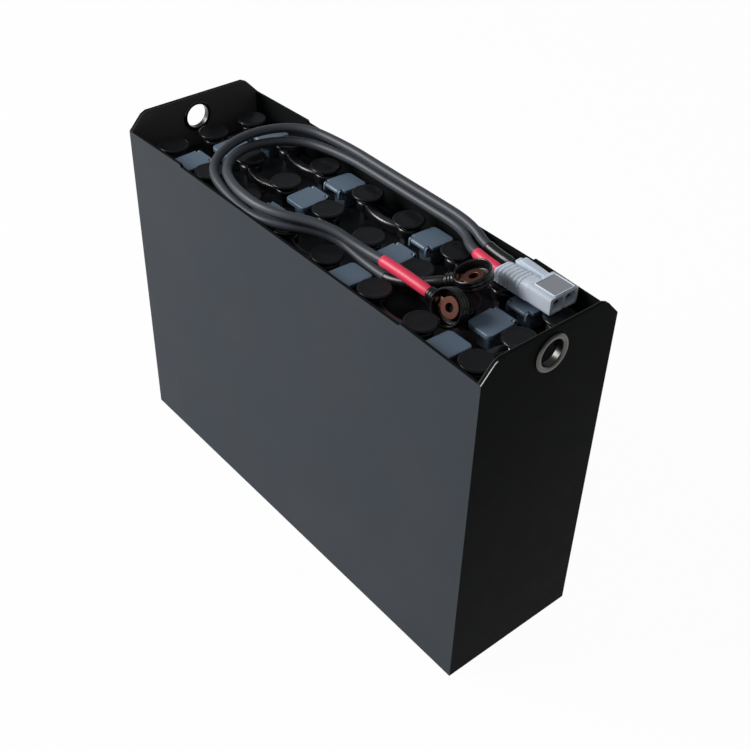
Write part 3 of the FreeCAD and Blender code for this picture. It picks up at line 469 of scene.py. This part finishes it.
def carried_tube(line, radii, sides=28):
    """A round section carried along a line: at each point a circle of that radius, square to the line.

    The section's axes are turned with the line by the smallest turn from one point to the next."""
    tangent = np.gradient(line, axis=0)
    tangent /= np.linalg.norm(tangent, axis=1)[:, None]
    side = np.cross(tangent[0], (0, 0, 1))
    side /= np.linalg.norm(side)
    frames = []
    for along in tangent:
        side = side - along * side.dot(along)
        side /= np.linalg.norm(side)
        frames.append((side, np.cross(along, side)))
    frames = np.array(frames)
    turn = np.linspace(0, 2 * np.pi, sides, endpoint=False)
    ring = np.cos(turn)[:, None] * frames[:, None, 0] + np.sin(turn)[:, None] * frames[:, None, 1]
    return line[:, None, :] + ring * np.asarray(radii)[:, None, None]


def metres(points):
    """Millimetre route points in metres."""
    return [tuple(value * MM for value in point) for point in points]


def sleeve_mesh(name, line, start, end):
    """A heat-shrink sleeve: an outer wall and an inner wall round a stretch of the line.

    Within 1.2 mm of an end, at the share t of that way, the wall is 1/4 + 3/4 sqrt(1 - (1-t)^2) of its
    full thickness."""
    stretch, marks = stretch_of(line, start, end)
    lip = np.clip(np.minimum(marks - marks[0], marks[-1] - marks) / (1.2 * MM), 0, 1)
    thickness = (SLEEVE_OUTER - SLEEVE_INNER) * (0.25 + 0.75 * np.sqrt(1 - (1 - lip) ** 2))
    wall = carried_tube(stretch, SLEEVE_INNER + thickness)
    inside = carried_tube(stretch, np.full(len(stretch), SLEEVE_INNER))
    return Surface().add(np.concatenate([wall, inside[::-1], wall[:1]])).mesh(name)


def build_lead(name, points, sleeve_slot):
    """One lead: its cable as a cord, and the sleeve at each end as separate pieces on it."""
    route = metres(points)
    curve = nurbs_curve(f"{name}_lead_cable", route, CABLE_RADIUS)
    cable = bpy.data.objects.new(f"{name}_lead_cable", curve)
    bpy.context.scene.collection.objects.link(cable)
    curve.materials.append(MATERIALS["cable_jacket"])
    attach(cable, BODY)
    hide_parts(f"{name}_cable")
    line = line_of(curve)
    length = float(np.linalg.norm(np.diff(line, axis=0), axis=1).sum())
    pieces = []
    for end_name, (start, end) in SLEEVE_ENDS.items():
        mesh = sleeve_mesh(f"{name}_{end_name}_heat_shrink", line, start, end)
        pieces.append(dress(mesh.name, mesh, MATERIALS[sleeve_slot],
                            [f"{name}_{end_name}_sleeve"]))
    return cable, route, length, pieces


# Screw caps, links, lids and rings

def pole_spots():
    """Every pole's centre: column by column in each row."""
    return [(cell.x + side * POLE_OFFSET, cell.y) for cell in CELLS.values() for side in (-1, 1)]


def cap_mesh():
    """Insulating caps, each a profile turned about its pole: a rolled rim round a shallow dish."""
    profile = [(0, 0), (18.2, 0), (19.4, 0.3), (19.9, 0.8), (20, 1.4), (19.85, 1.95), (19.5, 2.5),
               (18.9, 3.0), (18.2, 3.35), (17.4, 3.5), (16.6, 3.42), (15.9, 3.2), (15.2, 3.08),
               (9, 3.15), (0, 3.2)]
    cap = turned(profile, 40)
    surface = Surface()
    for x, y in pole_spots():
        surface.add(moved(cap, (x, y, SCREW_TOP)))
    return surface.mesh("rolled_screw_caps", 50)


def link_grids(span, bow):
    """One link: two ringed eyes, and a soft-edged section carried along an arc that bows to -Y by bow.

    The arc is x = R sin a, y = R (1 - cos a) - bow, with R = (span^2/4 + bow^2) / (2 bow).  It stops about
    8 mm short of each eye's centre."""
    eye = blended([(5.5, 0, 0.3), (13.6, 0, 0.6), (14, 2, 1), (14, 9.4, 2), (12.6, 12, 2.2), (10, 12, 0.6),
                   (9.4, 11.4, 0.4), (5.5, 11.4, 0.4)], 4)
    ring = turned(np.concatenate([eye, eye[:1]]), 32)
    bend = (span ** 2 / 4 + bow ** 2) / (2 * bow)
    reach = math.asin(span / 2 / bend) * (1 - 8 / (span / 2))
    section = blended([(-6.5, 0, 0.8), (6.5, 0, 0.8), (6.5, 11.8, 6.2), (-6.5, 11.8, 6.2)], 8)
    angle = np.linspace(-reach, reach, 25)[:, None]
    across, up = section.T[:, None]
    bar = np.stack([bend * np.sin(angle) + 0 * across, bend * (1 - np.cos(angle)) - bow + across,
                    up + 0 * angle], axis=-1) * MM
    half = span / 2 * MM
    return [moved(ring, (-half, 0, 0)), moved(ring, (half, 0, 0)), capped(bar)]


def link_mesh():
    """Nine links along the rows and two across them."""
    surface = Surface()
    straight, across = link_grids(76, 11), link_grids(61.3, 11)
    end = CELLS[("front", 4)].x + POLE_OFFSET
    left_cells = [CELLS[(row, column)] for row in ROWS for column in COLUMNS[:3]]
    spots = [(straight, (cell.x + COLUMN_PITCH / 2, cell.y, POLE_TOP), 0) for cell in left_cells]
    spots.append((across, (-end, ROW_PITCH / 2, POLE_TOP), 90))
    spots.append((across, (end, -ROW_PITCH / 2, POLE_TOP), -90))
    for grids, place, turn in spots:
        for grid in grids:
            surface.add(moved(grid, place, turn))
    return surface.mesh("moulded_cell_links", 35)


def lid_mesh(name, place, turn):
    """A flip lid: its closed side view carried across its width, with a barrel on its hinge.

    Over the last 6 mm before an end the draw-in is s = 1 - sqrt(1 - u^2), with u rising from 0 to 1.  The
    free edge steps back by 6 s, the hinge's edge by 0.6 s, and the thickness shrinks by a quarter of s."""
    side_view = blended([(4.1, -2, 0.4), (37.4, -2, 0.5), (38.4, -5, 0.8), (40.6, -5, 1.4), (41, 1.25, 2.4),
                         (22, 2.2, 3), (4.1, 3.0, 0.6)], 7)
    flat, run = 12, 6
    rise = np.sin(np.linspace(0, math.pi / 2, 9))
    u = np.concatenate([-flat - rise[::-1] * run, [-6, 0, 6], flat + rise * run])
    draw = (1 - np.sqrt(1 - np.clip((np.abs(u) - flat) / run, 0, 1) ** 2))[:, None]
    y, z = side_view.T[:, None]
    toward_free = np.clip((y - 20) / 21, 0, 1) ** 2
    plate = np.stack([u[:, None] + 0 * y, y - 6 * draw * toward_free + 0.6 * draw * (y < 10),
                      0.2 + (z - 0.2) * (1 - draw / 4)], axis=-1) * MM
    angle = np.linspace(0, 2 * np.pi, 24, endpoint=False)
    stations = np.array([-12, -11.7, -11, 11, 11.7, 12])[:, None]
    radius = np.array([2.7, 3.05, 3.2, 3.2, 3.05, 2.7])[:, None]
    barrel = np.stack([stations + 0 * angle, radius * np.cos(angle), radius * np.sin(angle)],
                      axis=-1) * MM
    bridge = along_x((-11.9, 11.9), blended([(0, -2, 0), (6, -2, 0), (6, 2.9, 0), (0, 3.2, 0)], 2))
    surface = Surface()
    for grid in (plate, barrel, bridge):
        surface.add(moved(capped(grid), place, turn))
    return surface.mesh(name, 40)


def vent_mesh():
    """Vent plugs: a soft square body that widens upwards, two ears on the hinge's side and the pin."""
    body = []
    for height, half in ((0, 10.4), (10, 11.2), (18, 12.6), (22.5, 13.9), (24.0, 14.0), (24.5, 13.4)):
        outline = blended([(-half, -half, 3), (half, -half, 3), (half, half, 4.5), (-half, half, 4.5)], 6)
        body.append(np.column_stack([outline, np.full(len(outline), height)]))
    ear = blended([(-11, 13, 1), (-11, 21.6, 0.4), (-17.8, 21.6, 0.6), (-17.8, 26.8, 1), (-19.4, 30, 1.4),
                   (-22.6, 30, 1.4), (-24.2, 26.8, 1), (-24.2, 18.8, 1.2)], 4)
    middle = ear.mean(axis=0)
    grow = np.array([0.97, 1, 1, 0.97])[:, None]
    ears = []
    for side in (-1, 1):
        across = side * np.array([12.4, 12.7, 15.1, 15.4])[:, None]
        ears.append(capped(np.stack([across + 0 * ear[:, 0], middle[0] + (ear[:, 0] - middle[0]) * grow,
                                     middle[1] + (ear[:, 1] - middle[1]) * grow], axis=-1) * MM))
    angle = np.linspace(0, 2 * np.pi, 16, endpoint=False)
    round_pin = np.stack([-HINGE_OFFSET + 1.5 * np.cos(angle), 26.8 + 1.5 * np.sin(angle)], axis=1)
    pin = capped(along_x((-15.4, 15.4), round_pin))
    surface = Surface()
    for cell, place in CELLS.items():
        for grid in (capped(np.array(body) * MM), *ears, pin):
            surface.add(moved(grid, (place.x, place.y, COVER_TOP), 0 if HINGE_IN_FRONT[cell] else 180))
    return surface.mesh("tapered_vent_plugs", 35)


def ring_mesh():
    """Lifting rings: a profile turned about X, with a bead outside and a rolled lip inside."""
    profile = blended([(16, -7, 0.6), (19.8, -7, 0.8), (20.5, -5.8, 0.8), (20.5, -5, 0.2), (18.4, -4.9, 0.2),
                       (18.4, 0, 0.2), (22.9, 0, 0.2), (23.1, 1.2, 1.2), (21.6, 3.0, 2.0), (18.6, 3.3, 2.0),
                       (16, 1.6, 2.4)], 7)
    radius, out = np.concatenate([profile, profile[:1]]).T[:, :, None] * MM
    angle = np.linspace(0, 2 * np.pi, 64, endpoint=False)
    surface = Surface()
    level = middle_of("lifting_rings").z
    for side in (-1, 1):
        end = TRAY_HIGH.x if side > 0 else TRAY_LOW.x
        surface.add(np.stack([end + side * out + 0 * angle, radius * np.cos(angle),
                              level + radius * np.sin(angle)], axis=-1))
    return surface.mesh("rolled_lifting_rings", 50)


# Boots and lugs of the lead

def lug_frame(route, tilt):
    """Axes and origin of a lug: X back along the cable, Z the way its face looks, origin in its eye."""
    start, second = np.array(route[0]), np.array(route[1])
    along = (second - start) / np.linalg.norm(second - start)
    tilt = math.radians(tilt)
    facing = np.array([0, -math.cos(tilt), math.sin(tilt)])
    facing -= along * facing.dot(along)
    facing /= np.linalg.norm(facing)
    return np.stack([along, np.cross(facing, along), facing, start - along * 33 * MM], axis=1)


def sideways(grid):
    """A grid turned about Z, laid along X."""
    return np.stack([grid[..., 2], grid[..., 1], -grid[..., 0]], axis=-1)


def boot_mesh(name, frame_of_lug):
    """A ringed rubber cup turned about the lug's face direction, and its ringed neck along the barrel."""
    cup = [(0, -6), (18.6, -6), (20.6, -5.6), (21.8, -4.6), (22.2, -3.2), (22.1, -1.9), (21.2, -1.1),
           (21.0, -0.4), (21.7, 0.5), (22.3, 1.6), (22.3, 3.2), (21.6, 4.2), (21.6, 4.9), (22.4, 5.8),
           (22.5, 7.2), (22.0, 8.4), (21.1, 9.0), (20.2, 8.7), (19.6, 7.9), (19.2, 6.0), (18.9, 0),
           (18.3, -2.4), (17.4, -3), (0, -3)]
    neck = [(6.3, 18.6), (8.2, 18.6), (8.6, 20), (8.6, 23), (8.0, 23.6), (8.0, 24.2), (8.5, 24.8),
            (8.5, 26.4), (7.9, 27), (7.9, 27.6), (8.4, 28.2), (8.4, 30), (7.9, 30.8), (7.0, 31),
            (6.3, 30.6), (6.3, 18.6)]
    surface = Surface()
    surface.add(set_in(turned(cup, 56), frame_of_lug))
    surface.add(set_in(sideways(turned(neck, 28)), frame_of_lug))
    return surface.mesh(name, 50)


def lug_mesh(name, frame_of_lug):
    """A copper lug: a pierced round palm, a tongue and a crimped barrel."""
    palm = [(5.3, -1.7), (5.7, -2), (12, -2), (12.5, -1.6), (12.5, 1.6), (12, 2), (5.7, 2), (5.3, 1.7),
            (5.3, -1.7)]
    barrel = [(0, 14.5), (3.5, 14.8), (5.4, 16), (6, 17.2), (6, 21.6), (5.6, 22), (5.5, 23.4), (6, 24),
              (6, 32.6), (5.6, 33), (0, 33)]
    section = blended([(-6, -1.9, 0.6), (6, -1.9, 0.6), (6, 1.9, 0.6), (-6, 1.9, 0.6)], 3)
    surface = Surface()
    surface.add(set_in(turned(palm, 36), frame_of_lug))
    surface.add(set_in(capped(along_x((8.0, 12.0, 17.0), section)), frame_of_lug))
    surface.add(set_in(sideways(turned(barrel, 28)), frame_of_lug))
    return surface.mesh(name, 30)


# The plug, in millimetres from the foot of its cable end, with Y from its middle

PLUG_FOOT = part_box("plug_housing")[0]
PLUG_PLACE = (PLUG_FOOT.x, middle_of("plug_housing").y, PLUG_FOOT.z)


def lobe_grid(y_low, y_high, heights, corner, ribs=0.0, pitch=5.6):
    """A lobe along X: a box outline with soft top corners at each station.

    heights gives (x, height) pairs.  Over the first 5 mm, at the share t of that way, the outline is drawn
    in by up to 3 mm times 1 - sqrt(1 - (1-t)^2).  With ribs, the top and the front side sink by
    ribs * |2 f - 1|^10 at the fraction f of each pitch: rounded bands between narrow grooves."""
    x = np.linspace(heights[0][0], heights[-1][0], 150)
    height = np.interp(x, *np.array(heights, float).T)
    sections = []
    for along, top in zip(x, height):
        end = min(along - x[0], 5.0) / 5.0
        drawn = 1 - math.sqrt(max(0.0, 1 - (1 - end) ** 2))
        fraction = (along - x[0]) / pitch % 1.0
        sink = ribs * abs(2 * fraction - 1) ** 10 if 3 < along - x[0] < pitch * 7.5 else 0.0
        low, high = y_low + sink + 2.5 * drawn, y_high - 1.5 * drawn
        roof = top - sink - 3.0 * drawn
        outline = blended([(low, 0.4, 1.0), (high, 0.4, 1.0), (high, roof, corner[1]),
                           (low, roof, corner[0])], 9)
        sections.append(np.column_stack([np.full(len(outline), along), outline]))
    return capped(np.array(sections) * MM)


def head_grid(middle, mouth):
    """One chamber of the head: a soft box from behind, over the front lip and back into its mouth.

    Both outlines are superellipses: 10.75 by 10.75 with power 9 outside, 7.5 by 7 with power 4 inside."""
    outside, inside = superellipse(10.75, 10.75, 9), superellipse(7.5, 7.0, 4)
    rows = []
    stations = [(x, outside, middle, grow) for x, grow in
                ((49.5, -0.8), (50.3, -0.1), (51.5, 0), (84.9, 0), (85.7, -0.3), (86, -0.9))]
    stations += [(x, inside, mouth, grow) for x, grow in ((86, 0.7), (85.7, 0.2), (84.9, 0), (53, 0))]
    for x, outline, centre, grow in stations:
        length = np.linalg.norm(outline, axis=1)[:, None]
        spots = outline * (1 + grow / length) + np.array([centre, 10.75])
        rows.append(np.column_stack([np.full(len(spots), x), spots]))
    return capped(np.array(rows) * MM)


def frame_grid(x_low, x_high, y_low, y_high, level, width, rise):
    """A half-round bead carried round a rectangle with soft corners."""
    soft = 2.4
    path = blended([(x_low, y_low, soft), (x_high, y_low, soft), (x_high, y_high, soft),
                    (x_low, y_high, soft)], 6)
    ahead = np.roll(path, -1, axis=0) - np.roll(path, 1, axis=0)
    normal = np.stack([ahead[:, 1], -ahead[:, 0]], axis=1) / np.linalg.norm(ahead, axis=1)[:, None]
    angle = np.linspace(0, 2 * np.pi, 14, endpoint=False)
    across, up = width / 2 * np.cos(angle), np.maximum(rise * np.sin(angle), -0.3)
    spots = path[:, None] + normal[:, None] * across[None, :, None]
    heights = np.broadcast_to(level + up, spots.shape[:2])[..., None]
    return np.concatenate([spots, heights], axis=-1) * MM


def plug_mesh():
    """The plug's housing: ribbed lobe, plain lobe, the web between them, the head and its frame."""
    surface = Surface()
    ribbed_heights = [(0, 16.6), (8, 18.2), (46, 21.2), (51.5, 21.3)]
    plain_heights = [(0, 14), (7.8, 14.2), (9, 17.8), (14, 18), (46, 16), (49, 16.4), (52, 20)]
    for grid in (lobe_grid(-21.5, 5.8, ribbed_heights, (12, 9), 1.5),
                 lobe_grid(10.6, 21.5, plain_heights, (1.2, 2)),
                 lobe_grid(-10, 18, [(1, 8), (52, 8)], (1, 1)),
                 head_grid(-10.75, -9.5), head_grid(10.75, 9.5)):
        surface.add(moved(grid, PLUG_PLACE))
    bead = frame_grid(54.8, 84.2, -13.6, 17.2, 21.45, 2.0, 1.15)
    surface.add(moved(bead, PLUG_PLACE), closed_rows=True)
    return surface.mesh("ribbed_plug_housing", 38)


def field_mesh():
    """The bare field inside the frame on top of the plug."""
    outline = blended([(55.2, -13.2, 2), (83.8, -13.2, 2), (83.8, 16.8, 2), (55.2, 16.8, 2)], 5)
    rows = [np.column_stack([outline, np.full(len(outline), level)]) for level in (21.1, 21.95)]
    slab = moved(capped(np.array(rows) * MM), PLUG_PLACE)
    return Surface().add(slab).mesh("bare_field", 30)


# The camera and the studio

CAMERA_PLACE = (0.9045547, -0.7377593, 1.1615803)
CAMERA_RIGHT = (0.6399719, 0.7679514, 0.0262022)
CAMERA_UP = (-0.4988430, 0.3892903, 0.7743440)
CAMERA_BACK = (0.5844584, -0.5086292, 0.6322221)
CAMERA_LENS = 55.846
FLOOR_WHITE = 0.86
FLOOR_SHARE = 0.975
FLOOR_REACH, BACKDROP_HEIGHT = 24000, 4500
WORLD_COLOUR = (0.93, 0.97, 1)
WORLD_STRENGTH = 0.22
KEY_PLACE = (-2.4, -2.7, 2.45)
KEY_AIM = (0, 0, 0.3)
KEY_WIDTH = 2.2
KEY_POWER = 175


def add_camera():
    """The photograph's viewpoint."""
    data = bpy.data.cameras.new("photo_camera")
    data.lens = CAMERA_LENS
    data.sensor_width = 36
    data.clip_start = 0.01
    camera = bpy.data.objects.new("photo_camera", data)
    turn = Matrix((CAMERA_RIGHT, CAMERA_UP, CAMERA_BACK)).transposed().to_4x4()
    camera.matrix_world = Matrix.Translation(CAMERA_PLACE) @ turn
    bpy.context.scene.collection.objects.link(camera)
    bpy.context.scene.camera = camera


def add_lamp(name, place, aim, width, power):
    """A square soft lamp that faces a point."""
    data = bpy.data.lights.new(name, "AREA")
    data.size = width
    data.energy = power
    lamp = bpy.data.objects.new(name, data)
    lamp.location = place
    lamp.rotation_euler = (Vector(aim) - Vector(place)).to_track_quat("-Z", "Y").to_euler()
    bpy.context.scene.collection.objects.link(lamp)


def floor_material():
    """Pale floor that shows white to the camera, in reflections and through clear things.

    The share left to its own colour keeps a trace of the shadow."""
    material = bpy.data.materials.new("pale_floor")
    material.use_nodes = True
    tree = material.node_tree
    shader = shader_of(material)
    shader.inputs["Base Color"].default_value = (FLOOR_WHITE, FLOOR_WHITE, FLOOR_WHITE, 1)
    shader.inputs["Roughness"].default_value = 0.9
    glow = tree.nodes.new("ShaderNodeEmission")
    paths = tree.nodes.new("ShaderNodeLightPath")
    seen = tree.nodes.new("ShaderNodeMath")
    seen.operation = "MAXIMUM"
    also = tree.nodes.new("ShaderNodeMath")
    also.operation = "MAXIMUM"
    share = tree.nodes.new("ShaderNodeMath")
    share.operation = "MULTIPLY"
    share.inputs[1].default_value = FLOOR_SHARE
    mix = tree.nodes.new("ShaderNodeMixShader")
    tree.links.new(paths.outputs["Is Camera Ray"], seen.inputs[0])
    tree.links.new(paths.outputs["Is Glossy Ray"], seen.inputs[1])
    tree.links.new(seen.outputs[0], also.inputs[0])
    tree.links.new(paths.outputs["Is Transmission Ray"], also.inputs[1])
    tree.links.new(also.outputs[0], share.inputs[0])
    tree.links.new(share.outputs[0], mix.inputs[0])
    tree.links.new(shader.outputs[0], mix.inputs[1])
    tree.links.new(glow.outputs[0], mix.inputs[2])
    tree.links.new(mix.outputs[0], tree.nodes["Material Output"].inputs["Surface"])
    return material


def add_studio():
    """Floor with a low round backdrop far off, world and lamp.

    The floor and its backdrop are one profile turned about Z."""
    profile = [(0, 0), (600, 0), (FLOOR_REACH - BACKDROP_HEIGHT, 0), (FLOOR_REACH, BACKDROP_HEIGHT)]
    mesh = Surface().add(turned(profile, 64)).mesh("floor", 10)
    floor = bpy.data.objects.new("floor", mesh)
    mesh.materials.append(floor_material())
    bpy.context.scene.collection.objects.link(floor)
    world = bpy.data.worlds.new("studio")
    world.use_nodes = True
    background = world.node_tree.nodes["Background"]
    background.inputs["Color"].default_value = (*WORLD_COLOUR, 1)
    background.inputs["Strength"].default_value = WORLD_STRENGTH
    bpy.context.scene.world = world
    add_lamp("key_softbox", KEY_PLACE, KEY_AIM, KEY_WIDTH, KEY_POWER)


add_camera()
add_studio()

SLOTS = {row["node"]: row["material_slot"] for row in frame["record"]["subparts"]}
for node, solid in NODES.items():
    solid.data.materials.clear()
    solid.data.materials.append(MATERIALS[SLOTS[node]])

# The bevel's width in millimetres on each CAD node that is shown as it is but for its edges
SOFTENED = {"tray": 0.7, "front_packing": 0.4, "back_packing": 0.4, "cell_covers": 0.5,
            "pole_screws": 0.4, "end_pole_washers": 0.5, "plug_contacts": 0.4}
soft_pieces = {}
for node, width in SOFTENED.items():
    soft_pieces[node] = dress(f"soft_{node}", merged(node), MATERIALS[SLOTS[node]], [node])
    soften(soft_pieces[node], width * MM)

dress("rolled_screw_caps", cap_mesh(), MATERIALS["cap_plastic"], ["screw_caps"])
dress("moulded_cell_links", link_mesh(), MATERIALS["link_rubber"], ["cell_links"])
dress("tapered_vent_plugs", vent_mesh(), MATERIALS["vent_plastic"], ["vent_plugs"])
dress("rolled_lifting_rings", ring_mesh(), MATERIALS["plated_steel"], ["lifting_rings"])
for (row, column), cell in CELLS.items():
    lid = f"vent_lid_{row}_{column}"
    hinge_in_front = HINGE_IN_FRONT[(row, column)]
    hinge_y = cell.y + (-HINGE_OFFSET if hinge_in_front else HINGE_OFFSET) * MM
    mesh = lid_mesh(f"flip_{lid}", (cell.x, hinge_y, HINGE_LEVEL), 0 if hinge_in_front else 180)
    dress(mesh.name, mesh, MATERIALS["vent_plastic"], [lid], lid)

housing = dress("ribbed_plug_housing", plug_mesh(), MATERIALS["plug_plastic"],
                ["plug_housing"])
field = dress("bare_field", field_mesh(), BARE_FIELD)

# Each lead's name, route, sleeves and the angle by which its lug looks up from the front
LEADS = (("positive", POSITIVE_ROUTE, "red_sleeve", 20),
         ("negative", NEGATIVE_ROUTE, "black_sleeve", 85))
for name, points, sleeve_slot, tilt in LEADS:
    cable, route, length, pieces = build_lead(name, points, sleeve_slot)
    axes = lug_frame(route, tilt)
    mesh = boot_mesh(f"{name}_ringed_boot", axes)
    pieces.append(dress(mesh.name, mesh, MATERIALS["boot_rubber"], [f"{name}_boot"]))
    mesh = lug_mesh(f"{name}_crimped_lug", axes)
    pieces.append(dress(mesh.name, mesh, MATERIALS["copper"], [f"{name}_lug"]))
    if name == "positive":
        pieces += [housing, field, soft_pieces["plug_contacts"]]

bpy.context.scene.view_settings.view_transform = "Standard"
